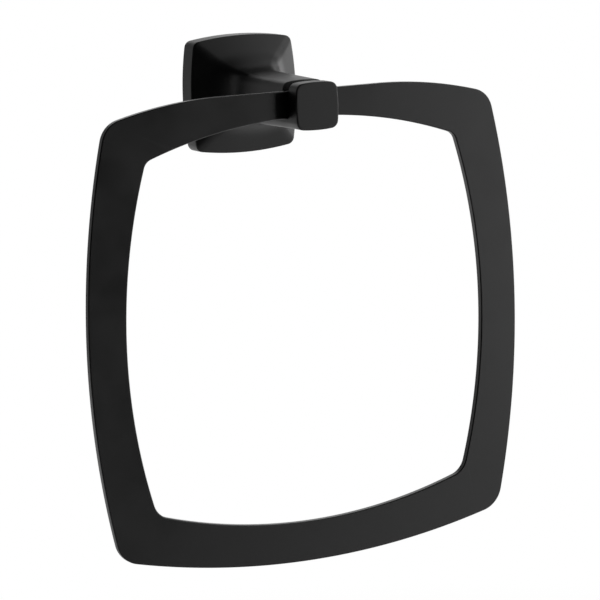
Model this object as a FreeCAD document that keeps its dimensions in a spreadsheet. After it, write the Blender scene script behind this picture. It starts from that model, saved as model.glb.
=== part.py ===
import FreeCAD, Part
import math
import os
import Sketcher

# Wall-mounted towel ring: a cast post with an open-top slot, and the flat ring that hangs in it.
# Millimetres. The origin is the middle of the post's back face, on the wall.
# +Z is up and +Y points into the wall, so a depth below is a distance in front of the wall.

SIZES = {
    # flange of the post
    "flange_half": 22.5,
    "flange_bow": 1.8,
    "flange_corner": 3.0,
    "rim_depth": 7.6,
    "rim_edge": 0.5,
    # neck, from its root on the flange to the slot
    "root_depth": 13.4,
    "root_half": 9.7,
    "root_bow": 0.62,
    "root_corner": 4.2,
    "flare_round": 13.0,
    # head, which has the section of the neck's end
    "head_half": 8.9,
    "head_bow": 0.59,
    "head_corner": 3.0,
    "head_edge": 0.4,
    "lip_thickness": 5.85,
    # slot, wider at its mouth than at its floor
    "slot_depth": 58.1,
    "slot_half_mouth": 2.55,
    "slot_half_floor": 1.55,
    "slot_floor_drop": 4.7,
    # hollow of the casting
    "wall": 2.2,
    "cavity_depth": 6.2,
    "cavity_corner": 1.2,
    "core_mouth_half": 15.5,
    "core_end_depth": 49.0,
    "core_end_half": 6.3,
    # wall bracket and the ledge that hooks on it
    "bracket_half_width": 10.0,
    "bracket_half_height": 15.5,
    "bracket_bevel": 3.0,
    "bracket_thickness": 5.0,
    "bracket_round": 1.2,
    "screw_slot_half_spacing": 8.0,
    "screw_slot_radius": 2.25,
    "screw_slot_half_run": 0.95,
    "ledge_half_width": 8.0,
    "ledge_gap": 0.05,
    "rib_sink": 0.8,
    # set screw and its boss
    "set_screw_radius": 2.0,
    "thread_gap": 0.05,
    "set_screw_depth": 3.6,
    "set_screw_recess": 0.8,
    "set_screw_point": 1.8,
    "hex_half": 1.0,
    "hex_socket_depth": 2.2,
    "boss_height": 1.7,
    "boss_half_width": 4.5,
    # ring, drawn about its own middle
    "ring_middle_drop": 82.0,
    "ring_shift": 2.5,
    "ring_half_width": 90.0,
    "ring_half_height": 90.0,
    "ring_half_thickness": 1.35,
    "ring_edge": 0.35,
    "bar_width": 15.2,
    "seat_height": 10.3,
    "outer_side_radius": 337.0,
    "outer_bottom_radius": 315.0,
    "outer_low_corner": 10.3,
    "outer_high_corner": 9.5,
    "shoulder_radius": 165.0,
    "shoulder_start": 33.0,
    "inner_side_radius": 219.0,
    "inner_bottom_radius": 206.0,
    "inner_low_corner": 7.8,
    "inner_high_corner": 4.5,
    "arch_radius": 188.0,
    "seat_half_length": 12.0,
}

doc = FreeCAD.newDocument("towel_ring")
sheet = doc.addObject("Spreadsheet::Sheet", "Sizes")
for row, (size_name, size) in enumerate(SIZES.items(), start=1):
    sheet.set(f"A{row}", size_name)
    sheet.set(f"B{row}", str(size))
    sheet.setAlias(f"B{row}", size_name)
doc.recompute()


def number(words):
    """The value of named sizes and numbers joined by + - * and /, with spaces between them."""
    total, term, joint = 0.0, 0.0, "+"
    for word in words.split():
        if word in ("+", "-", "*", "/"):
            joint = word
            continue
        value = SIZES[word] if word in SIZES else float(word)
        if joint == "*":
            term *= value
        elif joint == "/":
            term /= value
        else:
            total += term
            term = value if joint == "+" else -value
    return total + term


def bound(words):
    """The same words as an expression on the sheet's cells."""
    cells = [f"Sizes.{word}" if word in SIZES else word for word in words.split()]
    return "(" + " ".join(cells) + ")"


def new_body(name):
    body = doc.addObject("PartDesign::Body", name)
    body.Label = name
    return body


def new_sketch(body, name, plane, right="0", up="0", out="0"):
    """A sketch on one of the body's own planes, moved right, up and out along its normal."""
    sketch = body.newObject("Sketcher::SketchObject", name)
    base = [p for p in body.Origin.OriginFeatures if p.Role == plane]
    sketch.AttachmentSupport = [(base[0], "")]
    sketch.MapMode = "FlatFace"
    place = FreeCAD.Vector(number(right), number(up), number(out))
    sketch.AttachmentOffset = FreeCAD.Placement(place, FreeCAD.Rotation())
    for axis, words in (("x", right), ("y", up), ("z", out)):
        if words != "0":
            sketch.setExpression(f"AttachmentOffset.Base.{axis}", bound(words))
    return sketch


def bind(sketch, kind, *where, words):
    """Add a constraint with a size and bind it to the sheet."""
    index = sketch.addConstraint(Sketcher.Constraint(kind, *where, number(words)))
    sketch.setExpression(f"Constraints[{index}]", bound(words))


def fix(sketch, kind, *where):
    sketch.addConstraint(Sketcher.Constraint(kind, *where))


def arc(center, radius, start, end):
    circle = Part.Circle(FreeCAD.Vector(*center, 0), FreeCAD.Vector(0, 0, 1), radius)
    return Part.ArcOfCircle(circle, start, end)


def line(start, end):
    return Part.LineSegment(FreeCAD.Vector(*start, 0), FreeCAD.Vector(*end, 0))


def soft_square(body, name, half, bow, corner, out="0"):
    """A square with four bowed sides and rounded corners, facing the room."""
    sketch = new_sketch(body, name, "XZ_Plane", out=out)
    half_size, bow_size, corner_size = number(half), number(bow), number(corner)
    radius = ((half_size - bow_size) ** 2 + bow_size**2) / (2 * bow_size)
    inset = radius - half_size
    middle = (math.sqrt(2 * (radius - corner_size) ** 2 - inset**2) - inset) / 2
    reach = math.atan2(middle, middle + inset)
    for turn in range(4):
        angle = turn * math.pi / 2
        side = (-inset * math.cos(angle), -inset * math.sin(angle))
        sketch.addGeometry(arc(side, radius, angle - reach, angle + reach))
        spot = math.sqrt(2) * middle
        corner_at = (spot * math.cos(angle + math.pi / 4), spot * math.sin(angle + math.pi / 4))
        sketch.addGeometry(arc(corner_at, corner_size, angle + reach, angle + math.pi / 2 - reach))
    for piece in range(8):
        fix(sketch, "Tangent", piece, 2, (piece + 1) % 8, 1)
    for piece in (2, 4, 6):
        fix(sketch, "Equal", 0, piece)
        fix(sketch, "Equal", 1, piece + 1)
    fix(sketch, "PointOnObject", 0, 3, -1)
    fix(sketch, "PointOnObject", 2, 3, -2)
    fix(sketch, "Symmetric", 0, 3, 4, 3, -1, 1)
    fix(sketch, "Symmetric", 2, 3, 6, 3, -1, 1)
    bind(sketch, "Radius", 1, words=corner)
    corner_half = f"({bound(half)} - {bound(bow)})"
    big = f"({corner_half} * {corner_half} + {bound(bow)} * {bound(bow)}) / (2 * {bound(bow)})"
    index = sketch.addConstraint(Sketcher.Constraint("Radius", 0, radius))
    sketch.setExpression(f"Constraints[{index}]", big)
    for piece, kind in ((0, "DistanceX"), (2, "DistanceY")):
        index = sketch.addConstraint(Sketcher.Constraint(kind, piece, 3, -1, 1, inset))
        sketch.setExpression(f"Constraints[{index}]", f"{big} - {bound(half)}")
    return sketch


def polygon(sketch, corners):
    """A closed outline of straight lines, each corner bound to a pair of sizes from the origin."""
    points = [(number(x), number(y)) for x, y in corners]
    for index, point in enumerate(points):
        sketch.addGeometry(line(point, points[(index + 1) % len(points)]))
    for index, (x, y) in enumerate(corners):
        fix(sketch, "Coincident", index, 2, (index + 1) % len(corners), 1)
        for kind, words, axis in (("DistanceX", x, -2), ("DistanceY", y, -1)):
            if number(words) == 0:
                fix(sketch, "PointOnObject", index, 1, axis)
            else:
                bind(sketch, kind, -1, 1, index, 1, words=words)


def square(body, name, half, out):
    """A plain square for the casting's core, facing the room."""
    sketch = new_sketch(body, name, "XZ_Plane", out=out)
    size = number(half)
    corners = [(-size, -size), (size, -size), (size, size), (-size, size)]
    for index, corner in enumerate(corners):
        sketch.addGeometry(line(corner, corners[(index + 1) % 4]))
    for index, kind in enumerate(("Horizontal", "Vertical", "Horizontal", "Vertical")):
        fix(sketch, kind, index)
        fix(sketch, "Coincident", index, 2, (index + 1) % 4, 1)
    fix(sketch, "Symmetric", 0, 1, 2, 1, -1, 1)
    bind(sketch, "DistanceX", -1, 1, 2, 1, words=half)
    bind(sketch, "DistanceY", -1, 1, 2, 1, words=half)
    return sketch


def pad(body, name, sketch, words, kind="PartDesign::Pad", both=False, reverse=False):
    feature = body.newObject(kind, name)
    feature.Profile = sketch
    feature.Length = number(words)
    feature.setExpression("Length", bound(words))
    feature.Midplane = both
    feature.Reversed = reverse
    doc.recompute()
    return feature


def loft(body, name, sections, kind="PartDesign::AdditiveLoft"):
    feature = body.newObject(kind, name)
    feature.Profile = sections[0]
    feature.Sections = sections[1:]
    feature.Ruled = True
    doc.recompute()
    return feature


def soften(body, name, words, picked, kind="Fillet"):
    """Round or chamfer the edges of the body so far that picked() chooses."""
    base = body.Tip
    names = [f"Edge{i}" for i, edge in enumerate(base.Shape.Edges, start=1) if picked(edge)]
    feature = body.newObject(f"PartDesign::{kind}", name)
    feature.Base = (base, names)
    size = "Radius" if kind == "Fillet" else "Size"
    setattr(feature, size, number(words))
    feature.setExpression(size, bound(words))
    doc.recompute()
    return feature


def at_depth(edge, words):
    """True for an edge that lies wholly in the plane at a depth in front of the wall."""
    box = edge.BoundBox
    depth = number(words)
    return abs(box.YMin + depth) < 1e-3 and abs(box.YMax + depth) < 1e-3


def make_post():
    body = new_body("post")

    # flange, slope, neck and head
    outline = soft_square(body, "FlangeOutline", "flange_half", "flange_bow", "flange_corner")
    pad(body, "Rim", outline, "rim_depth")
    rim_face = soft_square(
        body, "SlopeStart", "flange_half", "flange_bow", "flange_corner", out="rim_depth")
    root = soft_square(body, "NeckRoot", "root_half", "root_bow", "root_corner", out="root_depth")
    loft(body, "Slope", [rim_face, root])
    neck_start = soft_square(
        body, "NeckStart", "root_half", "root_bow", "root_corner", out="root_depth")
    neck_end = soft_square(
        body, "NeckEnd", "head_half", "head_bow", "head_corner", out="slot_depth")
    loft(body, "Neck", [neck_start, neck_end])
    head = soft_square(
        body, "HeadOutline", "head_half", "head_bow", "head_corner", out="slot_depth")
    pad(body, "Head", head, "slot_half_mouth + lip_thickness")
    front = "slot_depth + slot_half_mouth + lip_thickness"
    soften(body, "FlareRound", "flare_round", lambda edge: at_depth(edge, "root_depth"))
    soften(body, "RimEdge", "rim_edge", lambda edge: at_depth(edge, "rim_depth"), "Chamfer")
    soften(body, "HeadEdge", "head_edge", lambda edge: at_depth(edge, front), "Chamfer")

    # hollow behind the flange and up the neck
    cavity = soft_square(body, "Cavity", "flange_half - wall", "flange_bow", "cavity_corner")
    pad(body, "CavityCut", cavity, "cavity_depth", kind="PartDesign::Pocket", reverse=True)
    mouth = square(body, "CoreMouth", "core_mouth_half", "cavity_depth")
    throat = square(body, "CoreThroat", "root_half - wall", "root_depth - wall")
    loft(body, "CoreFlareCut", [mouth, throat], kind="PartDesign::SubtractiveLoft")
    core_start = square(body, "CoreStart", "root_half - wall", "root_depth - wall")
    core_end = square(body, "CoreEnd", "core_end_half", "core_end_depth")
    loft(body, "CoreCut", [core_start, core_end], kind="PartDesign::SubtractiveLoft")

    # ledge at the top that hooks behind the bracket's bevel
    ledge = new_sketch(body, "LedgeProfile", "YZ_Plane")
    root_height = "flange_half - wall + rib_sink"
    polygon(ledge, [
        ("0", "bracket_half_height - bracket_bevel + ledge_gap"),
        ("0 - bracket_thickness", "bracket_half_height + ledge_gap"),
        ("0 - cavity_depth - rib_sink", "bracket_half_height + ledge_gap"),
        ("0 - cavity_depth - rib_sink", root_height),
        ("0", root_height),
    ])
    pad(body, "Ledge", ledge, "ledge_half_width + ledge_half_width", both=True)

    # boss at the bottom, tapped for the set screw
    boss = new_sketch(body, "BossProfile", "YZ_Plane")
    boss_top = "wall + boss_height - flange_half"
    boss_root = "wall - rib_sink - flange_half"
    polygon(boss, [
        ("0", boss_root),
        ("0 - cavity_depth - rib_sink", boss_root),
        ("0 - cavity_depth - rib_sink", boss_top),
        ("0", boss_top),
    ])
    pad(body, "Boss", boss, "boss_half_width + boss_half_width", both=True)
    bore = new_sketch(body, "SetScrewBore", "XY_Plane", up="0 - set_screw_depth")
    bore.addGeometry(Part.Circle(
        FreeCAD.Vector(0, 0, 0), FreeCAD.Vector(0, 0, 1), number("set_screw_radius + thread_gap")))
    fix(bore, "Coincident", 0, 3, -1, 1)
    bind(bore, "Radius", 0, words="set_screw_radius + thread_gap")
    pad(body, "SetScrewBoreCut", bore, "flange_half + wall", kind="PartDesign::Pocket")

    # open-top slot for the ring
    slot = new_sketch(body, "SlotProfile", "YZ_Plane")
    above = "head_half + wall"
    polygon(slot, [
        ("slot_half_floor - slot_depth", "0 - slot_floor_drop"),
        ("slot_half_mouth - slot_depth", "head_half"),
        ("slot_half_mouth - slot_depth", above),
        ("0 - slot_half_mouth - slot_depth", above),
        ("0 - slot_half_mouth - slot_depth", "head_half"),
        ("0 - slot_half_floor - slot_depth", "0 - slot_floor_drop"),
    ])
    pad(body, "SlotCut", slot, "root_half + root_half", kind="PartDesign::Pocket", both=True)
    return body


def corner_arc(first, second, radius):
    """A small arc inside two circles, each given as (center, radius), tangent to both."""
    (ax, ay), (bx, by) = first[0], second[0]
    reach_a, reach_b = first[1] - radius, second[1] - radius
    gap = math.hypot(bx - ax, by - ay)
    along = (reach_a**2 - reach_b**2 + gap**2) / (2 * gap)
    aside = math.sqrt(reach_a**2 - along**2)
    ux, uy = (bx - ax) / gap, (by - ay) / gap
    spots = [(ax + along * ux - turn * aside * uy, ay + along * uy + turn * aside * ux)
             for turn in (1, -1)]
    center = max(spots, key=lambda spot: spot[0])
    start = math.atan2(center[1] - ay, center[0] - ax)
    end = math.atan2(center[1] - by, center[0] - bx)
    return arc(center, radius, start, end), start, end


def half_outline(sketch, names, first):
    """The right half of one outline of the ring, from bottom middle to top middle.

    It runs along the bottom arc, low corner, side arc, high corner, top arc and straight seat.
    first is the number of its first curve in the sketch.
    """
    side_radius, bottom_radius, top_radius = names["side"], names["bottom"], names["top"]
    low, high, seat_half = names["low"], names["high"], names["seat_half"]
    bottom = ((0.0, number(bottom_radius) - number(names["drop"])), number(bottom_radius))
    side = ((-number(names["inset"]), 0.0), number(side_radius))
    seat_at = (number(seat_half), number(names["seat"]))
    if names["tangent_seat"]:
        top_center = (seat_at[0], seat_at[1] - number(top_radius))
    else:
        rise = math.sqrt(number(top_radius) ** 2 - seat_at[0] ** 2)
        top_center = (0.0, seat_at[1] - rise)
    top = (top_center, number(top_radius))
    low_arc, bottom_end, side_start = corner_arc(bottom, side, number(low))
    high_arc, side_end, top_start = corner_arc(side, top, number(high))
    top_end = math.atan2(seat_at[1] - top_center[1], seat_at[0] - top_center[0])
    sketch.addGeometry(arc(*bottom, -math.pi / 2, bottom_end))
    sketch.addGeometry(low_arc)
    sketch.addGeometry(arc(*side, side_start, side_end))
    sketch.addGeometry(high_arc)
    sketch.addGeometry(arc(*top, top_start, top_end))
    sketch.addGeometry(line(seat_at, (0, seat_at[1])))

    bottom_id, low_id, side_id, high_id, top_id, seat_id = range(first, first + 6)
    for curve in (bottom_id, low_id, side_id, high_id):
        fix(sketch, "Tangent", curve, 2, curve + 1, 1)
    fix(sketch, "Horizontal", seat_id)
    fix(sketch, "PointOnObject", seat_id, 2, -2)
    fix(sketch, "PointOnObject", bottom_id, 1, -2)
    fix(sketch, "PointOnObject", bottom_id, 3, -2)
    fix(sketch, "PointOnObject", side_id, 3, -1)
    if names["tangent_seat"]:
        fix(sketch, "Tangent", top_id, 2, seat_id, 1)
    else:
        fix(sketch, "Coincident", top_id, 2, seat_id, 1)
        fix(sketch, "PointOnObject", top_id, 3, -2)
    for curve, words in ((bottom_id, bottom_radius), (low_id, low), (side_id, side_radius),
                         (high_id, high), (top_id, top_radius)):
        bind(sketch, "Radius", curve, words=words)
    bind(sketch, "DistanceY", bottom_id, 1, -1, 1, words=names["drop"])
    bind(sketch, "DistanceX", side_id, 3, -1, 1, words=names["inset"])
    bind(sketch, "DistanceX", seat_id, 2, seat_id, 1, words=seat_half)
    bind(sketch, "DistanceY", -1, 1, seat_id, 2, words=names["seat"])


def make_ring():
    body = new_body("ring")
    profile = new_sketch(
        body, "RingHalf", "XZ_Plane", right="0 - ring_shift", up="0 - ring_middle_drop",
        out="slot_depth - ring_half_thickness")
    seat = "ring_middle_drop - slot_floor_drop"
    half_outline(profile, {
        "inset": "outer_side_radius - ring_half_width", "drop": "ring_half_height",
        "seat": f"{seat} + seat_height", "side": "outer_side_radius",
        "bottom": "outer_bottom_radius", "top": "shoulder_radius", "low": "outer_low_corner",
        "high": "outer_high_corner", "seat_half": "shoulder_start", "tangent_seat": True}, 0)
    half_outline(profile, {
        "inset": "inner_side_radius - ring_half_width + bar_width",
        "drop": "ring_half_height - bar_width", "seat": seat, "side": "inner_side_radius",
        "bottom": "inner_bottom_radius", "top": "arch_radius", "low": "inner_low_corner",
        "high": "inner_high_corner", "seat_half": "seat_half_length", "tangent_seat": False}, 6)
    seat_size, drop_size = number(seat), number("ring_half_height")
    profile.addGeometry(line((0, seat_size + number("seat_height")), (0, seat_size)))
    profile.addGeometry(line((0, number("bar_width") - drop_size), (0, -drop_size)))
    for curve, end, other, other_end in ((12, 1, 5, 2), (12, 2, 11, 2), (13, 1, 6, 1), (13, 2, 0, 1)):
        fix(profile, "Coincident", curve, end, other, other_end)
    half = pad(body, "HalfRing", profile, "ring_half_thickness + ring_half_thickness")
    whole = body.newObject("PartDesign::Mirrored", "WholeRing")
    whole.Originals = [half]
    whole.MirrorPlane = (profile, ["V_Axis"])
    body.Tip = whole
    doc.recompute()
    faces = [f"Face{i}" for i, face in enumerate(whole.Shape.Faces, start=1)
             if abs(face.normalAt(0, 0).y) > 0.999]
    chamfer = body.newObject("PartDesign::Chamfer", "RingEdge")
    chamfer.Base = (whole, faces)
    chamfer.Size = number("ring_edge")
    chamfer.setExpression("Size", bound("ring_edge"))
    doc.recompute()
    return body


def make_bracket():
    body = new_body("wall_bracket")
    profile = new_sketch(body, "BracketProfile", "YZ_Plane")
    polygon(profile, [
        ("0", "bracket_bevel - bracket_half_height"),
        ("0 - bracket_thickness", "0 - bracket_half_height"),
        ("0 - bracket_thickness", "bracket_half_height"),
        ("0", "bracket_half_height - bracket_bevel"),
    ])
    pad(body, "Plate", profile, "bracket_half_width + bracket_half_width", both=True)
    half = number("bracket_half_width")
    thickness = number("bracket_thickness")
    soften(body, "PlateRound", "bracket_round", lambda edge: (
        abs(edge.BoundBox.YLength - thickness) < 1e-3 and abs(edge.CenterOfMass.x) > half / 2))
    slots = new_sketch(body, "ScrewSlots", "XZ_Plane")
    radius, run = number("screw_slot_radius"), number("screw_slot_half_run")
    for index, side in enumerate((1, -1)):
        middle = side * number("screw_slot_half_spacing")
        slots.addGeometry(arc((0, middle + run), radius, 0, math.pi))
        slots.addGeometry(line((-radius, middle + run), (-radius, middle - run)))
        slots.addGeometry(arc((0, middle - run), radius, math.pi, 2 * math.pi))
        slots.addGeometry(line((radius, middle - run), (radius, middle + run)))
        upper, left, lower, right = range(4 * index, 4 * index + 4)
        fix(slots, "Tangent", upper, 2, left, 1)
        fix(slots, "Tangent", left, 2, lower, 1)
        fix(slots, "Tangent", lower, 2, right, 1)
        fix(slots, "Tangent", right, 2, upper, 1)
        fix(slots, "PointOnObject", upper, 3, -2)
        fix(slots, "PointOnObject", lower, 3, -2)
        bind(slots, "Radius", upper, words="screw_slot_radius")
        far, near = (upper, lower) if side > 0 else (lower, upper)
        ends = [(far, "screw_slot_half_spacing + screw_slot_half_run"),
                (near, "screw_slot_half_spacing - screw_slot_half_run")]
        for curve, words in ends:
            where = (-1, 1, curve, 3) if side > 0 else (curve, 3, -1, 1)
            bind(slots, "DistanceY", *where, words=words)
    pad(body, "ScrewSlotCut", slots, "bracket_thickness + bracket_bevel",
        kind="PartDesign::Pocket", reverse=True)
    return body


def make_set_screw():
    body = new_body("set_screw")
    profile = new_sketch(body, "SetScrewProfile", "XZ_Plane", out="set_screw_depth")
    low = "set_screw_recess - flange_half"
    tip = ("bracket_bevel - bracket_half_height - thread_gap"
           " - bracket_bevel * set_screw_depth / bracket_thickness")
    polygon(profile, [
        ("0", low),
        ("set_screw_radius", low),
        ("set_screw_radius", f"{tip} - set_screw_point"),
        ("0", tip),
    ])
    turned = body.newObject("PartDesign::Revolution", "Turned")
    turned.Profile = profile
    turned.ReferenceAxis = (profile, ["V_Axis"])
    turned.Angle = 360
    doc.recompute()
    hexagon = new_sketch(
        body, "HexSocket", "XY_Plane", up="0 - set_screw_depth", out=low)
    key = number("hex_half")
    for turn in range(6):
        spots = [(key / math.cos(math.pi / 6) * math.cos(math.pi / 3 * (turn + step)),
                  key / math.cos(math.pi / 6) * math.sin(math.pi / 3 * (turn + step)))
                 for step in (0, 1)]
        hexagon.addGeometry(line(*spots))
    rim = Part.Circle(FreeCAD.Vector(0, 0, 0), FreeCAD.Vector(0, 0, 1), key)
    hexagon.addGeometry(rim, True)
    fix(hexagon, "Coincident", 6, 3, -1, 1)
    for turn in range(6):
        fix(hexagon, "Coincident", turn, 2, (turn + 1) % 6, 1)
        fix(hexagon, "Tangent", turn, 6)
        if turn < 4:
            fix(hexagon, "Equal", turn, turn + 1)
    fix(hexagon, "PointOnObject", 0, 1, -1)
    bind(hexagon, "Radius", 6, words="hex_half")
    pad(body, "HexSocketCut", hexagon, "hex_socket_depth", kind="PartDesign::Pocket", reverse=True)
    return body


bodies = [make_post(), make_ring(), make_bracket(), make_set_screw()]
doc.recompute()
for item in doc.Objects:
    if "Invalid" in item.State or "Error" in item.State:
        raise RuntimeError(f"{item.Name} failed: {item.State}")
os.makedirs("parts", exist_ok=True)
for body in bodies:
    shape = body.Shape
    if shape.isNull() or not shape.isValid() or len(shape.Solids) != 1:
        raise RuntimeError(f"{body.Label} is not one valid solid")
    print(body.Label, "volume", round(shape.Volume, 1), "mm3")
for body in bodies:
    body.Shape.exportStep(f"parts/{body.Label}.step")
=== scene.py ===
import math
import bmesh
import bpy
from mathutils import Matrix, Quaternion, Vector


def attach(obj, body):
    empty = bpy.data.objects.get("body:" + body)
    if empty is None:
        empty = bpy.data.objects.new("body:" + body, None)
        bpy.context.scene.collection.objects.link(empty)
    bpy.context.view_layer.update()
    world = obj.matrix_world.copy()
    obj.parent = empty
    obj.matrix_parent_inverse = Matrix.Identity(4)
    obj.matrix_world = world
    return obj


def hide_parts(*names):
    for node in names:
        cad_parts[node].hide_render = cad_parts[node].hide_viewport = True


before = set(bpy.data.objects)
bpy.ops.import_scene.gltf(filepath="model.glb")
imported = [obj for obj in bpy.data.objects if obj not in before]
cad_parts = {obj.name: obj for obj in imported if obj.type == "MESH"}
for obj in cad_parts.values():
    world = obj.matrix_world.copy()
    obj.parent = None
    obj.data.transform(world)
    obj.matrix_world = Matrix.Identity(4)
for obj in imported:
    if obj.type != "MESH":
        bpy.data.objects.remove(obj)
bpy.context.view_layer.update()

# A wall-mounted towel ring: a satin black cast post with an open-top slot, the flat ring that
# hangs in it, and the hidden wall bracket and set screw. Metres; the wall is the plane y = 0,
# the room is towards -Y, and a depth is a distance in front of the wall.

MM = 0.001

# The flange, the neck and the head of the post: half width, bow of the sides, corner radius
FLANGE = (22.5 * MM, 1.8 * MM, 3.0 * MM)
ROOT = (9.7 * MM, 0.62 * MM, 4.2 * MM)
HEAD = (8.9 * MM, 0.59 * MM, 3.0 * MM)
RIM_DEPTH = 7.6 * MM
ROOT_DEPTH = 13.4 * MM
FRONT_DEPTH = 66.5 * MM
BACK_EDGE_ROUND = 0.2 * MM
RIM_ROUND = 0.55 * MM
FLARE_ROUND = 13.0 * MM
HEAD_ROUND = 0.5 * MM
HEAD_FACE_INSET = 1.4 * MM

# The hollow of the casting
WALL = 2.2 * MM
CAVITY_DEPTH = 6.2 * MM
CAVITY_CORNER = 1.2 * MM
CAVITY_ROUND = 0.8 * MM
CORE_MOUTH_HALF = 15.5 * MM
CORE_END_HALF = 6.3 * MM
CORE_END_DEPTH = 49.0 * MM
CORE_ROUND = 1.5 * MM
CAST_CORNER = 0.8 * MM
NEARLY_STRAIGHT = 0.02 * MM

# The slot that the ring lies in
SLOT_DEPTH = 58.1 * MM
SLOT_HALF_MOUTH = 2.55 * MM
SLOT_HALF_FLOOR = 1.55 * MM
SLOT_FLOOR_DROP = 4.7 * MM
SLOT_EDGE = 0.22 * MM
SLOT_CUT_REACH = 6.0 * MM
ON_PLANE = 0.001 * MM

# The ledge and the boss inside the flange
BRACKET_HALF_HEIGHT = 15.5 * MM
BRACKET_BEVEL = 3.0 * MM
BRACKET_THICKNESS = 5.0 * MM
LEDGE_GAP = 0.05 * MM
LEDGE_HALF_WIDTH = 8.0 * MM
BOSS_HALF_WIDTH = 4.5 * MM
BOSS_HEIGHT = 1.7 * MM
RIB_SINK = 0.8 * MM

# The set screw
SCREW_RADIUS = 2.0 * MM
SCREW_DEPTH = 3.6 * MM
SCREW_RECESS = 0.8 * MM
SCREW_POINT = 1.8 * MM
SCREW_TIP_RADIUS = 0.35 * MM
SCREW_CHAMFER = 0.25 * MM
SCREW_GAP = 0.05 * MM
THREAD_PITCH = 0.7 * MM
THREAD_HEIGHT = 0.3 * MM
THREAD_SETBACK = 0.01 * MM
HEX_HALF = 1.0 * MM
HEX_SOCKET_DEPTH = 2.2 * MM
HEX_SOCKET_CONE = 0.4 * MM

# The ring, drawn about its own middle
RING_MIDDLE = Vector((-2.5 * MM, -SLOT_DEPTH, -82.0 * MM))
RING_HALF = 90.0 * MM
RING_THICKNESS = 2.7 * MM
RING_EDGE = 0.45 * MM
BAR_WIDTH = 15.2 * MM
SEAT_HEIGHT = 10.3 * MM
SEAT_HALF = 12.0 * MM
SHOULDER_START = 33.0 * MM
SEAT_UP = -RING_MIDDLE.z - SLOT_FLOOR_DROP

# The arcs of the ring's outlines: bottom, low corner, side, high corner and top
OUTER_RADII = (315.0 * MM, 10.3 * MM, 337.0 * MM, 9.5 * MM, 165.0 * MM)
INNER_RADII = (206.0 * MM, 7.8 * MM, 219.0 * MM, 4.5 * MM, 188.0 * MM)
ARC_STEPS = (40, 14, 70, 12, 30)

# The photograph's camera
CAMERA_AT = Vector((-579.0 * MM, -1142.4 * MM, 133.9 * MM))
CAMERA_TURN = math.radians(-27.88)
CAMERA_TILT = math.radians(9.56)
CAMERA_ROLL = math.radians(-1.80)
CAMERA_LENS = 200.8
CAMERA_SENSOR = 36.0

# The lamps' target, and the watts per square metre that make a lamp as bright as white paper
LAMP_TARGET = Vector((0, -SLOT_DEPTH, -60.0 * MM))
PAPER_BRIGHT_WATTS = 4.0

# The paper sweep: its floor and backdrop, and how far from the post it fades to pure white
FLOOR_Z = -0.5
FLOOR_FRONT_Y = -0.8
BACKDROP_Y = 2.6
BACKDROP_TOP_Z = 2.2
SWEEP_CURVE = 0.8
SWEEP_HALF_WIDTH = 1.5
FADE_START = 0.5
FADE_END = 1.3
PALE_SHARE = 0.45


def arc_points(center, radius, start, end, steps):
    """Points along an arc, without its last one."""
    angles = [start + (end - start) * step / steps for step in range(steps)]
    return [(center[0] + radius * math.cos(a), center[1] + radius * math.sin(a)) for a in angles]


def soft_square(size, side_steps=26, corner_steps=10):
    """A square with bowed sides and rounded corners, as points (x, z) counterclockwise."""
    half, bow, corner = size
    radius = ((half - bow) ** 2 + bow**2) / (2 * bow)
    inset = radius - half
    middle = (math.sqrt(2 * (radius - corner) ** 2 - inset**2) - inset) / 2
    reach = math.atan2(middle, middle + inset)
    points = []
    for turn in range(4):
        angle = turn * math.pi / 2
        side = (-inset * math.cos(angle), -inset * math.sin(angle))
        points += arc_points(side, radius, angle - reach, angle + reach, side_steps)
        diagonal = angle + math.pi / 4
        spot = (math.sqrt(2) * middle * math.cos(diagonal), math.sqrt(2) * middle * math.sin(diagonal))
        points += arc_points(spot, corner, angle + reach, angle + math.pi / 2 - reach, corner_steps)
    return points


def section(size, depth):
    return [Vector((x, -depth, z)) for x, z in soft_square(size)]


def straight_run(start, end, steps):
    """Points from start to end, without the end."""
    return [start.lerp(end, step / steps) for step in range(steps)]


def rounded_corner(before, corner, after, radius, steps):
    """Points of the arc that rounds the corner between two straight runs."""
    back = (before - corner).normalized()
    ahead = (after - corner).normalized()
    half_angle = back.angle(ahead) / 2
    setback = radius / math.tan(half_angle)
    center = corner + (back + ahead).normalized() * (radius / math.sin(half_angle))
    first = corner + back * setback - center
    last = corner + ahead * setback - center
    turn = first.rotation_difference(last)
    return [center + Quaternion().slerp(turn, step / steps) @ first for step in range(steps + 1)]


def lengthwise_path(corners, rounds, steps, arc_steps=8):
    """One line through corners, rounded where a radius is given, with steps up to each corner."""
    points = []
    start = corners[0]
    for index in range(1, len(corners) - 1):
        corner = corners[index]
        if rounds[index]:
            bend = rounded_corner(start, corner, corners[index + 1], rounds[index], arc_steps)
        else:
            bend = [corner]
        points += straight_run(start, bend[0], steps[index]) + bend[:-1]
        start = bend[-1]
    return points + straight_run(start, corners[-1], steps[-1]) + [corners[-1]]


def skin(paths):
    """A closed tube of quads through side-by-side paths, capped at both ends."""
    mesh = bmesh.new()
    grid = [[mesh.verts.new(point) for point in path] for path in paths]
    count = len(grid)
    for column in range(count):
        here, beside = grid[column], grid[(column + 1) % count]
        for row in range(len(here) - 1):
            mesh.faces.new((here[row], beside[row], beside[row + 1], here[row + 1]))
    mesh.faces.new([column[0] for column in reversed(grid)])
    mesh.faces.new([column[-1] for column in grid])
    bmesh.ops.recalc_face_normals(mesh, faces=mesh.faces)
    return mesh


def lies_on(vert, plane):
    """Whether a vertex lies on a plane, which is a place and a normal."""
    place, normal = plane
    return abs((vert.co - place).dot(normal)) < ON_PLANE


def edges_on(edges, plane):
    return [edge for edge in edges if all(lies_on(vert, plane) for vert in edge.verts)]


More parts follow.
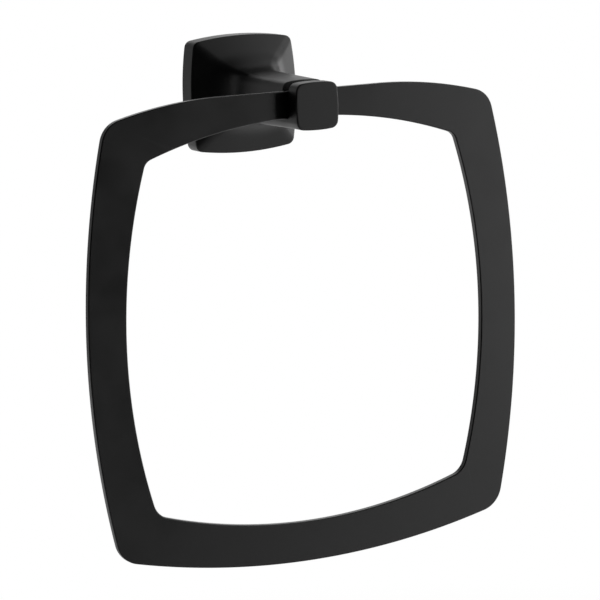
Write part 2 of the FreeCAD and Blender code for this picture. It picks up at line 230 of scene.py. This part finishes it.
def cut_slot(mesh):
    """Open the slot for the ring: split the skin along its walls and floor, then wall it in."""
    lean = (SLOT_HALF_MOUTH - SLOT_HALF_FLOOR) / (HEAD[0] + SLOT_FLOOR_DROP)
    walls = []
    for side in (-1, 1):
        place = Vector((0, -SLOT_DEPTH + side * SLOT_HALF_FLOOR, -SLOT_FLOOR_DROP))
        walls.append((place, Vector((0, side, -lean)).normalized()))
    floor = (Vector((0, 0, -SLOT_FLOOR_DROP)), Vector((0, 0, 1)))
    for place, normal in walls + [floor]:
        near = [face for face in mesh.faces
                if abs(face.calc_center_median().y + SLOT_DEPTH) < SLOT_CUT_REACH]
        edges = {edge for face in near for edge in face.edges}
        verts = {vert for face in near for vert in face.verts}
        bmesh.ops.bisect_plane(
            mesh, geom=near + list(edges) + list(verts), dist=ON_PLANE / 10,
            plane_co=place, plane_no=normal)
    inside = []
    for face in mesh.faces:
        middle = face.calc_center_median()
        between_walls = all((middle - place).dot(normal) < 0 for place, normal in walls)
        if between_walls and middle.z > -SLOT_FLOOR_DROP:
            inside.append(face)
    bmesh.ops.delete(mesh, geom=inside, context="FACES")
    rim = [edge for edge in mesh.edges if edge.is_boundary]
    rim_verts = [vert for edge in rim for vert in edge.verts]
    feet = []
    for wall in walls:
        corners = [vert for vert in rim_verts if lies_on(vert, wall) and lies_on(vert, floor)]
        left = next(vert for vert in corners if vert.co.x < 0)
        right = next(vert for vert in corners if vert.co.x > 0)
        feet.append(mesh.edges.new((left, right)))
    for wall, foot in zip(walls, feet):
        bmesh.ops.contextual_create(mesh, geom=edges_on(rim, wall) + [foot])
    bmesh.ops.contextual_create(mesh, geom=edges_on(rim, floor) + feet)
    bmesh.ops.recalc_face_normals(mesh, faces=mesh.faces)
    bmesh.ops.bevel(
        mesh, geom=rim, offset=SLOT_EDGE, offset_type="OFFSET", segments=3, profile=0.5,
        affect="EDGES", clamp_overlap=True)


def prism(profile, half_width):
    """A bar along X with a profile of (y, z) corners."""
    mesh = bmesh.new()
    ends = [[mesh.verts.new((side * half_width, y, z)) for y, z in profile] for side in (-1, 1)]
    count = len(profile)
    mesh.faces.new(ends[0])
    mesh.faces.new(list(reversed(ends[1])))
    for index in range(count):
        after = (index + 1) % count
        mesh.faces.new((ends[0][after], ends[0][index], ends[1][index], ends[1][after]))
    bmesh.ops.recalc_face_normals(mesh, faces=mesh.faces)
    return mesh


def upright_rod(center, radius, low, high, steps=40):
    """A closed upright cylinder."""
    mesh = bmesh.new()
    rings = []
    for z in (low, high):
        rings.append([mesh.verts.new((x, y, z)) for x, y in
                      arc_points(center, radius, 0, 2 * math.pi, steps)])
    mesh.faces.new(list(reversed(rings[0])))
    mesh.faces.new(rings[1])
    for index in range(steps):
        after = (index + 1) % steps
        mesh.faces.new((rings[0][index], rings[0][after], rings[1][after], rings[1][index]))
    bmesh.ops.recalc_face_normals(mesh, faces=mesh.faces)
    return mesh


def new_object(name, mesh):
    """Turn a working mesh into an object in the scene."""
    data = bpy.data.meshes.new(name)
    mesh.to_mesh(data)
    mesh.free()
    piece = bpy.data.objects.new(name, data)
    bpy.context.scene.collection.objects.link(piece)
    return piece


def settle(piece):
    """Replace a piece's mesh by what its modifiers make of it, and take them off."""
    bpy.context.view_layer.update()
    evaluated = piece.evaluated_get(bpy.context.evaluated_depsgraph_get())
    data = bpy.data.meshes.new_from_object(evaluated)
    piece.modifiers.clear()
    old = piece.data
    piece.data = data
    data.name = piece.name
    bpy.data.meshes.remove(old)


def combine(piece, tool_mesh, operation):
    """Join a solid to the piece, or cut it away."""
    tool = new_object("tool", tool_mesh)
    step = piece.modifiers.new("combine", "BOOLEAN")
    step.operation = operation
    step.solver = "EXACT"
    step.object = tool
    settle(piece)
    data = tool.data
    bpy.data.objects.remove(tool)
    bpy.data.meshes.remove(data)


def smooth_faces(piece, sharp_degrees=32):
    piece.data.shade_smooth()
    piece.data.set_sharp_from_angle(angle=math.radians(sharp_degrees))


def make_post():
    """The post casting, from the end of its core, round the flange's back, to the head's face."""
    half, bow = FLANGE[:2]
    core_end = (CORE_END_HALF, NEARLY_STRAIGHT, CAST_CORNER)
    core_root = (ROOT[0] - WALL, NEARLY_STRAIGHT, CAST_CORNER)
    core_mouth = (CORE_MOUTH_HALF, NEARLY_STRAIGHT, CAST_CORNER)
    cavity = (half - WALL, bow, CAVITY_CORNER)
    face = (HEAD[0] - HEAD_FACE_INSET, HEAD[1], HEAD[2] - HEAD_FACE_INSET)
    # Each row is a section, its depth, the round there and the steps up to it
    sizes, depths, rounds, steps = zip(
        (core_end, CORE_END_DEPTH, 0, 0),
        (core_root, ROOT_DEPTH - WALL, CORE_ROUND, 8),
        (core_mouth, CAVITY_DEPTH, 0, 3),
        (cavity, CAVITY_DEPTH, CAVITY_ROUND, 2),
        (cavity, 0, 0, 3),
        (FLANGE, 0, BACK_EDGE_ROUND, 1),
        (FLANGE, RIM_DEPTH, RIM_ROUND, 6),
        (ROOT, ROOT_DEPTH, FLARE_ROUND, 8),
        (HEAD, SLOT_DEPTH, 0, 22),
        (HEAD, FRONT_DEPTH, HEAD_ROUND, 4),
        (face, FRONT_DEPTH, 0, 2))
    stations = [section(size, depth) for size, depth in zip(sizes, depths)]
    paths = [lengthwise_path(corners, rounds, steps) for corners in zip(*stations)]
    mesh = skin(paths)
    cut_slot(mesh)
    post = new_object("post_casting", mesh)

    root_height = half - WALL + RIB_SINK
    ledge_low = BRACKET_HALF_HEIGHT + LEDGE_GAP
    combine(post, prism([
        (0, ledge_low - BRACKET_BEVEL), (-BRACKET_THICKNESS, ledge_low),
        (-CAVITY_DEPTH - RIB_SINK, ledge_low), (-CAVITY_DEPTH - RIB_SINK, root_height),
        (0, root_height)], LEDGE_HALF_WIDTH), "UNION")
    boss_top = BOSS_HEIGHT + WALL - half
    combine(post, prism([
        (0, -root_height), (-CAVITY_DEPTH - RIB_SINK, -root_height),
        (-CAVITY_DEPTH - RIB_SINK, boss_top), (0, boss_top)], BOSS_HALF_WIDTH), "UNION")
    combine(post, upright_rod(
        (0, -SCREW_DEPTH), SCREW_RADIUS + SCREW_GAP, -half - WALL, boss_top + WALL), "DIFFERENCE")
    smooth_faces(post)
    return post


def corner_between(first, second, radius):
    """The arc of a radius that joins two larger arcs, each a center and a radius."""
    (ax, ay), (bx, by) = first[0], second[0]
    reach_a, reach_b = first[1] - radius, second[1] - radius
    gap = math.hypot(bx - ax, by - ay)
    along = (reach_a**2 - reach_b**2 + gap**2) / (2 * gap)
    aside = math.sqrt(reach_a**2 - along**2)
    ux, uy = (bx - ax) / gap, (by - ay) / gap
    spots = [(ax + along * ux - turn * aside * uy, ay + along * uy + turn * aside * ux)
             for turn in (1, -1)]
    center = max(spots)
    start = math.atan2(center[1] - ay, center[0] - ax)
    end = math.atan2(center[1] - by, center[0] - bx)
    return center, start, end


def ring_outline(radii, inset, seat_half, seat_up, seat_is_tangent):
    """One closed outline of the ring as points (x, z), from its right half and its mirror."""
    bottom_radius, low_corner, side_radius, high_corner, top_radius = radii
    half = RING_HALF - inset
    bottom = ((0, bottom_radius - half), bottom_radius)
    side = ((half - side_radius, 0), side_radius)
    if seat_is_tangent:
        top = ((seat_half, seat_up - top_radius), top_radius)
    else:
        top = ((0, seat_up - math.sqrt(top_radius**2 - seat_half**2)), top_radius)
    low, bottom_end, side_start = corner_between(bottom, side, low_corner)
    high, side_end, top_start = corner_between(side, top, high_corner)
    top_end = math.atan2(seat_up - top[0][1], seat_half - top[0][0])
    arcs = [
        (*bottom, -math.pi / 2, bottom_end),
        (low, low_corner, bottom_end, side_start),
        (*side, side_start, side_end),
        (high, high_corner, side_end, top_start),
        (*top, top_start, top_end)]
    right = [point for arc, steps in zip(arcs, ARC_STEPS) for point in arc_points(*arc, steps)]
    right.append((seat_half, seat_up))
    left = [(-x, z) for x, z in reversed(right[1:])]
    return right + left


def outline_object(name, outlines):
    """Closed outlines as loops of edges in the XY plane."""
    mesh = bmesh.new()
    for outline in outlines:
        verts = [mesh.verts.new((x, z, 0)) for x, z in outline]
        for index, vert in enumerate(verts):
            mesh.edges.new((vert, verts[(index + 1) % len(verts)]))
    return new_object(name, mesh)


def mesh_tree(name, inputs):
    """A Geometry Nodes tree that takes a mesh, named values and a finish, and gives a mesh."""
    tree = bpy.data.node_groups.new(name, "GeometryNodeTree")
    titled = [("Geometry", "NodeSocketGeometry")] + inputs + [("Finish", "NodeSocketMaterial")]
    for title, kind in titled:
        tree.interface.new_socket(name=title, in_out="INPUT", socket_type=kind)
    tree.interface.new_socket(name="Geometry", in_out="OUTPUT", socket_type="NodeSocketGeometry")
    return tree, tree.nodes.new("NodeGroupInput")


def end_tree(tree, given, made):
    """Make what a tree has made real, give it the finish and put it out."""
    nodes, links = tree.nodes, tree.links
    realize = nodes.new("GeometryNodeRealizeInstances")
    finish = nodes.new("GeometryNodeSetMaterial")
    result = nodes.new("NodeGroupOutput")
    links.new(made.outputs["Geometry"], realize.inputs["Geometry"])
    links.new(realize.outputs["Geometry"], finish.inputs["Geometry"])
    links.new(given.outputs["Finish"], finish.inputs["Material"])
    links.new(finish.outputs["Geometry"], result.inputs["Geometry"])


def blank_from_outline():
    """Fills outlines in the XY plane, gives them a thickness and stands them upright."""
    tree, given = mesh_tree(
        "bar blank from outline", [("Thickness", "NodeSocketFloat"), ("Middle", "NodeSocketVector")])
    nodes, links = tree.nodes, tree.links
    line = nodes.new("GeometryNodeMeshToCurve")
    fill = nodes.new("GeometryNodeFillCurve")
    fill.mode = "NGONS"
    raise_face = nodes.new("GeometryNodeExtrudeMesh")
    raise_face.mode = "FACES"
    raise_face.inputs["Individual"].default_value = False
    back = nodes.new("GeometryNodeFlipFaces")
    join = nodes.new("GeometryNodeJoinGeometry")
    weld = nodes.new("GeometryNodeMergeByDistance")
    weld.inputs["Distance"].default_value = 0.001 * MM
    half = nodes.new("ShaderNodeMath")
    half.operation = "MULTIPLY"
    half.inputs[1].default_value = -0.5
    lower = nodes.new("ShaderNodeCombineXYZ")
    sink = nodes.new("GeometryNodeTransform")
    stand = nodes.new("GeometryNodeTransform")
    stand.inputs["Rotation"].default_value = (math.pi / 2, 0, 0)
    links.new(given.outputs["Geometry"], line.inputs["Mesh"])
    links.new(line.outputs["Curve"], fill.inputs["Curve"])
    links.new(fill.outputs["Mesh"], raise_face.inputs["Mesh"])
    links.new(given.outputs["Thickness"], raise_face.inputs["Offset Scale"])
    links.new(fill.outputs["Mesh"], back.inputs["Mesh"])
    links.new(raise_face.outputs["Mesh"], join.inputs["Geometry"])
    links.new(back.outputs["Mesh"], join.inputs["Geometry"])
    links.new(join.outputs["Geometry"], weld.inputs["Geometry"])
    links.new(given.outputs["Thickness"], half.inputs[0])
    links.new(half.outputs[0], lower.inputs["Z"])
    links.new(weld.outputs["Geometry"], sink.inputs["Geometry"])
    links.new(lower.outputs["Vector"], sink.inputs["Translation"])
    links.new(sink.outputs["Geometry"], stand.inputs["Geometry"])
    links.new(given.outputs["Middle"], stand.inputs["Translation"])
    end_tree(tree, given, stand)
    return tree


def grow(piece, tree, **values):
    """Run a tree on a piece's mesh with values for its named inputs, and keep the result."""
    step = piece.modifiers.new("grow", "NODES")
    step.node_group = tree
    for item in tree.interface.items_tree:
        if item.in_out == "INPUT" and item.name in values:
            step[item.identifier] = values[item.name]
    settle(piece)


def make_ring(finish):
    """The flat ring: a blank between two outlines, with its edges broken."""
    outer = ring_outline(OUTER_RADII, 0, SHOULDER_START, SEAT_UP + SEAT_HEIGHT, True)
    inner = ring_outline(INNER_RADII, BAR_WIDTH, SEAT_HALF, SEAT_UP, False)
    ring = outline_object("flat_ring", [outer, inner])
    grow(ring, blank_from_outline(), Thickness=RING_THICKNESS, Middle=RING_MIDDLE, Finish=finish)
    edge = ring.modifiers.new("broken edge", "BEVEL")
    edge.width = RING_EDGE
    edge.segments = 4
    edge.limit_method = "ANGLE"
    edge.angle_limit = math.radians(50)
    edge.harden_normals = True
    ring.data.shade_smooth()
    settle(ring)
    return ring


def thread_round_screw():
    """Adds a thread ridge, a diamond swept along a helix, to a screw's core."""
    tree, given = mesh_tree("thread on a core", [
        ("Core Radius", "NodeSocketFloat"), ("Ridge", "NodeSocketFloat"),
        ("Turns", "NodeSocketFloat"), ("Length", "NodeSocketFloat"), ("Foot", "NodeSocketVector")])
    nodes, links = tree.nodes, tree.links
    helix = nodes.new("GeometryNodeCurveSpiral")
    helix.inputs["Resolution"].default_value = 40
    diamond = nodes.new("GeometryNodeCurvePrimitiveCircle")
    diamond.inputs["Resolution"].default_value = 4
    sweep = nodes.new("GeometryNodeCurveToMesh")
    sweep.inputs["Fill Caps"].default_value = True
    place = nodes.new("GeometryNodeTransform")
    join = nodes.new("GeometryNodeJoinGeometry")
    links.new(given.outputs["Turns"], helix.inputs["Rotations"])
    links.new(given.outputs["Core Radius"], helix.inputs["Start Radius"])
    links.new(given.outputs["Core Radius"], helix.inputs["End Radius"])
    links.new(given.outputs["Length"], helix.inputs["Height"])
    links.new(given.outputs["Ridge"], diamond.inputs["Radius"])
    links.new(helix.outputs["Curve"], sweep.inputs["Curve"])
    links.new(diamond.outputs["Curve"], sweep.inputs["Profile Curve"])
    links.new(sweep.outputs["Mesh"], place.inputs["Geometry"])
    links.new(given.outputs["Foot"], place.inputs["Translation"])
    links.new(place.outputs["Geometry"], join.inputs["Geometry"])
    links.new(given.outputs["Geometry"], join.inputs["Geometry"])
    end_tree(tree, given, join)
    return tree


def screw_row(mesh, radius, z, steps):
    """A ring of vertices about the screw's axis: a hexagon at the key's size, one point at 0."""
    if radius == 0:
        return [mesh.verts.new((0, -SCREW_DEPTH, z))]
    row = []
    for step in range(steps):
        angle = 2 * math.pi * step / steps
        reach = radius
        if radius == HEX_HALF:
            within = (angle + math.pi / 6) % (math.pi / 3) - math.pi / 6
            reach = radius / math.cos(within)
        row.append(mesh.verts.new(
            (reach * math.cos(angle), -SCREW_DEPTH + reach * math.sin(angle), z)))
    return row


def make_set_screw(finish, steps=48):
    """The cup of the key, the core and the point as one lathed wall, then the thread."""
    foot = SCREW_RECESS - FLANGE[0]
    bevel_here = BRACKET_BEVEL * SCREW_DEPTH / BRACKET_THICKNESS
    tip = BRACKET_BEVEL - BRACKET_HALF_HEIGHT - SCREW_GAP - bevel_here
    core = SCREW_RADIUS - THREAD_HEIGHT
    shoulder = tip - SCREW_POINT
    socket_end = foot + HEX_SOCKET_DEPTH
    profile = [
        (0, socket_end + HEX_SOCKET_CONE), (HEX_HALF, socket_end),
        (HEX_HALF, foot + SCREW_CHAMFER), (HEX_HALF + SCREW_CHAMFER, foot),
        (core - SCREW_CHAMFER, foot), (core, foot + SCREW_CHAMFER),
        (core, shoulder), (SCREW_TIP_RADIUS, tip), (0, tip)]
    mesh = bmesh.new()
    rows = [screw_row(mesh, radius, z, steps) for radius, z in profile]
    for lower, upper in zip(rows, rows[1:]):
        for step in range(steps):
            after = (step + 1) % steps
            corners = [lower[step % len(lower)], lower[after % len(lower)],
                       upper[after % len(upper)], upper[step % len(upper)]]
            mesh.faces.new(list(dict.fromkeys(corners)))
    bmesh.ops.recalc_face_normals(mesh, faces=mesh.faces)
    screw = new_object("threaded_set_screw", mesh)
    smooth_faces(screw)
    start = foot + 2 * SCREW_CHAMFER
    run = shoulder - start - SCREW_CHAMFER
    grow(screw, thread_round_screw(), Finish=finish, Turns=run / THREAD_PITCH, Length=run,
         Foot=Vector((0, -SCREW_DEPTH, start)),
         **{"Core Radius": core, "Ridge": THREAD_HEIGHT - THREAD_SETBACK})
    return screw


def value_group(name, inputs, outputs):
    """An empty shader group with named value sockets."""
    group = bpy.data.node_groups.new(name, "ShaderNodeTree")
    for title, kind, default in inputs:
        socket = group.interface.new_socket(name=title, in_out="INPUT", socket_type=kind)
        if default is not None:
            socket.default_value = default
    for title, kind in outputs:
        group.interface.new_socket(name=title, in_out="OUTPUT", socket_type=kind)
    return group, group.nodes.new("NodeGroupInput"), group.nodes.new("NodeGroupOutput")


def cast_grain_group():
    """Broad mottle and a fine sprayed grain, as masks from 0 to 1 and one height."""
    group, given, result = value_group(
        "sprayed grain",
        [("Vector", "NodeSocketVector", None), ("Grain Scale", "NodeSocketFloat", 900.0),
         ("Mottle Scale", "NodeSocketFloat", 45.0), ("Grain Share", "NodeSocketFloat", 0.6)],
        [("Mottle", "NodeSocketFloat"), ("Grain", "NodeSocketFloat"), ("Height", "NodeSocketFloat")])
    nodes, links = group.nodes, group.links
    grain = nodes.new("ShaderNodeTexNoise")
    grain.inputs["Detail"].default_value = 3.0
    mottle = nodes.new("ShaderNodeTexNoise")
    mottle.inputs["Detail"].default_value = 2.0
    blend = nodes.new("ShaderNodeMix")
    blend.data_type = "FLOAT"
    for noise, scale in ((grain, "Grain Scale"), (mottle, "Mottle Scale")):
        links.new(given.outputs["Vector"], noise.inputs["Vector"])
        links.new(given.outputs[scale], noise.inputs["Scale"])
    links.new(given.outputs["Grain Share"], blend.inputs["Factor"])
    links.new(mottle.outputs["Fac"], blend.inputs["A"])
    links.new(grain.outputs["Fac"], blend.inputs["B"])
    links.new(mottle.outputs["Fac"], result.inputs["Mottle"])
    links.new(grain.outputs["Fac"], result.inputs["Grain"])
    links.new(blend.outputs["Result"], result.inputs["Height"])
    return group


def painted_edge_highlight_group():
    """A mask for painted highlights: 1 on outward edges, broken up by the grain."""
    group, given, result = value_group(
        "painted edge highlight",
        [("Grain", "NodeSocketFloat", 0.5), ("From", "NodeSocketFloat", 0.53),
         ("To", "NodeSocketFloat", 0.6)],
        [("Mask", "NodeSocketFloat")])
    nodes, links = group.nodes, group.links
    # Painted highlight: convex edges, found by pointiness, get a lighter colour.
    shape = nodes.new("ShaderNodeNewGeometry")
    ramp = nodes.new("ShaderNodeMapRange")
    share = nodes.new("ShaderNodeMath")
    share.operation = "MULTIPLY"
    links.new(shape.outputs["Pointiness"], ramp.inputs["Value"])
    links.new(given.outputs["From"], ramp.inputs["From Min"])
    links.new(given.outputs["To"], ramp.inputs["From Max"])
    links.new(ramp.outputs["Result"], share.inputs[0])
    links.new(given.outputs["Grain"], share.inputs[1])
    links.new(share.outputs[0], result.inputs["Mask"])
    return group


GRAIN = cast_grain_group()
PAINTED_EDGE_HIGHLIGHT = painted_edge_highlight_group()


def finish_with(name, dark, light, metallic, smooth_rough, mat_rough, bump_strength, bump_distance,
                grain_scale, mottle_scale, edge_highlight_color, edge_highlight_share):
    """A finish with mottled colour, grained gloss, a fine bump and painted highlights on its outward
    edges.
    """
    material = bpy.data.materials.new(name)
    material.use_nodes = True
    nodes, links = material.node_tree.nodes, material.node_tree.links
    surface = nodes["Principled BSDF"]
    surface.inputs["Metallic"].default_value = metallic
    place = nodes.new("ShaderNodeTexCoord")
    grain = nodes.new("ShaderNodeGroup")
    grain.node_tree = GRAIN
    grain.inputs["Grain Scale"].default_value = grain_scale
    grain.inputs["Mottle Scale"].default_value = mottle_scale
    # Painted highlight: a lighter colour on the outward edges.
    edge_highlight_mask = nodes.new("ShaderNodeGroup")
    edge_highlight_mask.node_tree = PAINTED_EDGE_HIGHLIGHT
    tone = nodes.new("ShaderNodeMix")
    tone.data_type = "RGBA"
    tone.inputs["A"].default_value = (*dark, 1)
    tone.inputs["B"].default_value = (*light, 1)
    # Mixes the painted edge highlight colour into the mottled tone.
    edge_highlighted_tone = nodes.new("ShaderNodeMix")
    edge_highlighted_tone.data_type = "RGBA"
    edge_highlighted_tone.inputs["B"].default_value = (*edge_highlight_color, 1)
    share = nodes.new("ShaderNodeMath")
    share.operation = "MULTIPLY"
    share.inputs[1].default_value = edge_highlight_share
    gloss = nodes.new("ShaderNodeMapRange")
    gloss.inputs["From Min"].default_value = 0.3
    gloss.inputs["From Max"].default_value = 0.7
    gloss.inputs["To Min"].default_value = smooth_rough
    gloss.inputs["To Max"].default_value = mat_rough
    bump = nodes.new("ShaderNodeBump")
    bump.inputs["Strength"].default_value = bump_strength
    bump.inputs["Distance"].default_value = bump_distance
    links.new(place.outputs["Object"], grain.inputs["Vector"])
    links.new(grain.outputs["Mottle"], tone.inputs["Factor"])
    links.new(grain.outputs["Grain"], edge_highlight_mask.inputs["Grain"])
    links.new(edge_highlight_mask.outputs["Mask"], share.inputs[0])
    links.new(share.outputs[0], edge_highlighted_tone.inputs["Factor"])
    links.new(tone.outputs["Result"], edge_highlighted_tone.inputs["A"])
    links.new(edge_highlighted_tone.outputs["Result"], surface.inputs["Base Color"])
    links.new(grain.outputs["Mottle"], gloss.inputs["Value"])
    links.new(gloss.outputs["Result"], surface.inputs["Roughness"])
    links.new(grain.outputs["Height"], bump.inputs["Height"])
    links.new(bump.outputs["Normal"], surface.inputs["Normal"])
    return material


def satin_black_coat(name, smooth_rough, mat_rough):
    """The same black on every piece, with its own gloss."""
    # The lighter edge colour below is a painted highlight on the edges.
    return finish_with(
        name, dark=(0.001, 0.001, 0.0011), light=(0.0022, 0.0022, 0.0023),
        metallic=0.0, smooth_rough=smooth_rough, mat_rough=mat_rough, bump_strength=0.05,
        bump_distance=0.02 * MM, grain_scale=1400.0, mottle_scale=60.0,
        edge_highlight_color=(0.02, 0.02, 0.021), edge_highlight_share=0.5)


def zinc_plate():
    # The lighter edge colour below is a painted highlight on the edges.
    return finish_with(
        "zinc-plated steel", dark=(0.34, 0.35, 0.36), light=(0.52, 0.53, 0.54), metallic=1.0,
        smooth_rough=0.42, mat_rough=0.58, bump_strength=0.2, bump_distance=0.03 * MM,
        grain_scale=700.0, mottle_scale=180.0, edge_highlight_color=(0.8, 0.8, 0.8), edge_highlight_share=0.4)


def black_oxide():
    # The lighter edge colour below is a painted highlight on the edges.
    return finish_with(
        "black oxide steel", dark=(0.05, 0.05, 0.055), light=(0.11, 0.11, 0.115), metallic=1.0,
        smooth_rough=0.35, mat_rough=0.5, bump_strength=0.15, bump_distance=0.02 * MM,
        grain_scale=1500.0, mottle_scale=300.0, edge_highlight_color=(0.3, 0.3, 0.3), edge_highlight_share=0.6)


def dress(piece, material):
    piece.data.materials.clear()
    piece.data.materials.append(material)


def direction(turn, tilt):
    """The way from the post to what stands turned from the front and raised."""
    return Vector((math.sin(turn) * math.cos(tilt), -math.cos(turn) * math.cos(tilt), math.sin(tilt)))


def look_from(place, turn, tilt, roll=0):
    """The matrix of a camera or lamp at a place, looking back along its direction, rolled."""
    back = direction(turn, tilt)
    level = Vector((math.cos(turn), math.sin(turn), 0))
    upright = back.cross(level)
    right = level * math.cos(roll) + upright * math.sin(roll)
    up = back.cross(right)
    turned = Matrix((right, up, back)).transposed().to_4x4()
    return Matrix.Translation(place) @ turned


def make_camera():
    data = bpy.data.cameras.new("photo camera")
    data.lens = CAMERA_LENS
    data.sensor_width = CAMERA_SENSOR
    data.clip_start = 0.05
    data.clip_end = 50.0
    camera = bpy.data.objects.new("photo camera", data)
    camera.matrix_world = look_from(CAMERA_AT, CAMERA_TURN, CAMERA_TILT, CAMERA_ROLL)
    bpy.context.scene.collection.objects.link(camera)
    bpy.context.scene.camera = camera


def softbox(name, turn_degrees, tilt_degrees, distance, width, height, brightness):
    """A rectangular lamp that faces the ring from a direction round it; 1 is as bright as paper."""
    data = bpy.data.lights.new(name, "AREA")
    data.shape = "RECTANGLE"
    data.size = width
    data.size_y = height
    data.energy = brightness * PAPER_BRIGHT_WATTS * width * height
    lamp = bpy.data.objects.new(name, data)
    turn, tilt = math.radians(turn_degrees), math.radians(tilt_degrees)
    lamp.matrix_world = look_from(LAMP_TARGET + direction(turn, tilt) * distance, turn, tilt)
    bpy.context.scene.collection.objects.link(lamp)


def make_lights():
    softbox("front right softbox", 42.5, 0, 2.0, 0.6, 1.0, 2.3)
    softbox("right softbox", 89, 0, 2.0, 1.2, 1.0, 2.9)
    softbox("raised front right softbox", 57, 26, 2.0, 1.0, 0.9, 1.45)
    softbox("raised right back softbox", 110, 26, 2.0, 1.2, 0.9, 0.85)
    softbox("high right softbox", 84, 51, 2.0, 2.6, 1.0, 0.52)
    softbox("high front reflector", 30, 34, 2.0, 0.9, 1.2, 0.2)
    softbox("left back reflector", -138, 18, 2.0, 2.0, 2.3, 0.3)
    softbox("low right reflector", 98, -58, 0.38, 0.5, 0.3, 0.33)


def paper_white():
    """Pale paper that the camera and reflections see as white away from the ring."""
    material = bpy.data.materials.new("white paper")
    material.use_nodes = True
    nodes, links = material.node_tree.nodes, material.node_tree.links
    surface = nodes["Principled BSDF"]
    surface.inputs["Base Color"].default_value = (0.85, 0.85, 0.85, 1)
    surface.inputs["Roughness"].default_value = 0.9
    surface.inputs["Specular IOR Level"].default_value = 0.1
    path = nodes.new("ShaderNodeLightPath")
    place = nodes.new("ShaderNodeTexCoord")
    length = nodes.new("ShaderNodeVectorMath")
    length.operation = "LENGTH"
    fade = nodes.new("ShaderNodeMapRange")
    fade.interpolation_type = "SMOOTHSTEP"
    fade.inputs["From Min"].default_value = FADE_START
    fade.inputs["From Max"].default_value = FADE_END
    mirrored, seen, share, pale, most = [nodes.new("ShaderNodeMath") for _ in range(5)]
    mirrored.operation = seen.operation = most.operation = "MAXIMUM"
    share.operation = pale.operation = "MULTIPLY"
    pale.inputs[1].default_value = PALE_SHARE
    glow = nodes.new("ShaderNodeEmission")
    glow.inputs["Strength"].default_value = 1.0
    mix = nodes.new("ShaderNodeMixShader")
    links.new(path.outputs["Is Glossy Ray"], mirrored.inputs[0])
    links.new(path.outputs["Is Transmission Ray"], mirrored.inputs[1])
    links.new(path.outputs["Is Camera Ray"], seen.inputs[0])
    links.new(mirrored.outputs[0], seen.inputs[1])
    links.new(place.outputs["Object"], length.inputs[0])
    links.new(length.outputs["Value"], fade.inputs["Value"])
    links.new(seen.outputs[0], share.inputs[0])
    links.new(fade.outputs["Result"], share.inputs[1])
    links.new(path.outputs["Is Camera Ray"], pale.inputs[0])
    links.new(share.outputs[0], most.inputs[0])
    links.new(pale.outputs[0], most.inputs[1])
    links.new(most.outputs[0], mix.inputs["Fac"])
    links.new(surface.outputs["BSDF"], mix.inputs[1])
    links.new(glow.outputs["Emission"], mix.inputs[2])
    links.new(mix.outputs["Shader"], nodes["Material Output"].inputs["Surface"])
    return material


def make_paper_sweep():
    """A floor that curves up into a backdrop behind the wall plane."""
    bend = (BACKDROP_Y - SWEEP_CURVE, FLOOR_Z + SWEEP_CURVE)
    profile = [(FLOOR_FRONT_Y, FLOOR_Z)]
    profile += arc_points(bend, SWEEP_CURVE, -math.pi / 2, 0, 24)
    profile += [(BACKDROP_Y, FLOOR_Z + SWEEP_CURVE), (BACKDROP_Y, BACKDROP_TOP_Z)]
    mesh = bmesh.new()
    sides = (-SWEEP_HALF_WIDTH, SWEEP_HALF_WIDTH)
    rows = [[mesh.verts.new((x, y, z)) for x in sides] for y, z in profile]
    for near, far in zip(rows, rows[1:]):
        mesh.faces.new((near[0], near[1], far[1], far[0]))
    mesh.transform(Matrix.Rotation(CAMERA_TURN, 4, "Z"))
    sweep = new_object("paper_sweep", mesh)
    sweep.data.shade_smooth()
    dress(sweep, paper_white())


def make_world():
    """White to the camera, and a quiet grey room to everything else."""
    world = bpy.data.worlds.new("studio")
    bpy.context.scene.world = world
    world.use_nodes = True
    nodes, links = world.node_tree.nodes, world.node_tree.links
    room = nodes["Background"]
    room.inputs["Color"].default_value = (0.02, 0.02, 0.02, 1)
    white = nodes.new("ShaderNodeBackground")
    path = nodes.new("ShaderNodeLightPath")
    mix = nodes.new("ShaderNodeMixShader")
    links.new(path.outputs["Is Camera Ray"], mix.inputs["Fac"])
    links.new(room.outputs["Background"], mix.inputs[1])
    links.new(white.outputs["Background"], mix.inputs[2])
    links.new(mix.outputs["Shader"], nodes["World Output"].inputs["Surface"])
    white.inputs["Color"].default_value = (1, 1, 1, 1)


make_camera()
make_world()
make_lights()
make_paper_sweep()

post = make_post()
dress(post, satin_black_coat("satin black on the casting", 0.34, 0.42))
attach(post, "root")
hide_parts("post")

ring = make_ring(satin_black_coat("satin black on the bar", 0.28, 0.35))
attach(ring, "root")
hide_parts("ring")

screw = make_set_screw(black_oxide())
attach(screw, "root")
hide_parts("set_screw")

plate = zinc_plate()
for material_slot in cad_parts["wall_bracket"].material_slots:
    material_slot.material = plate

bpy.context.scene.view_settings.view_transform = "Standard"
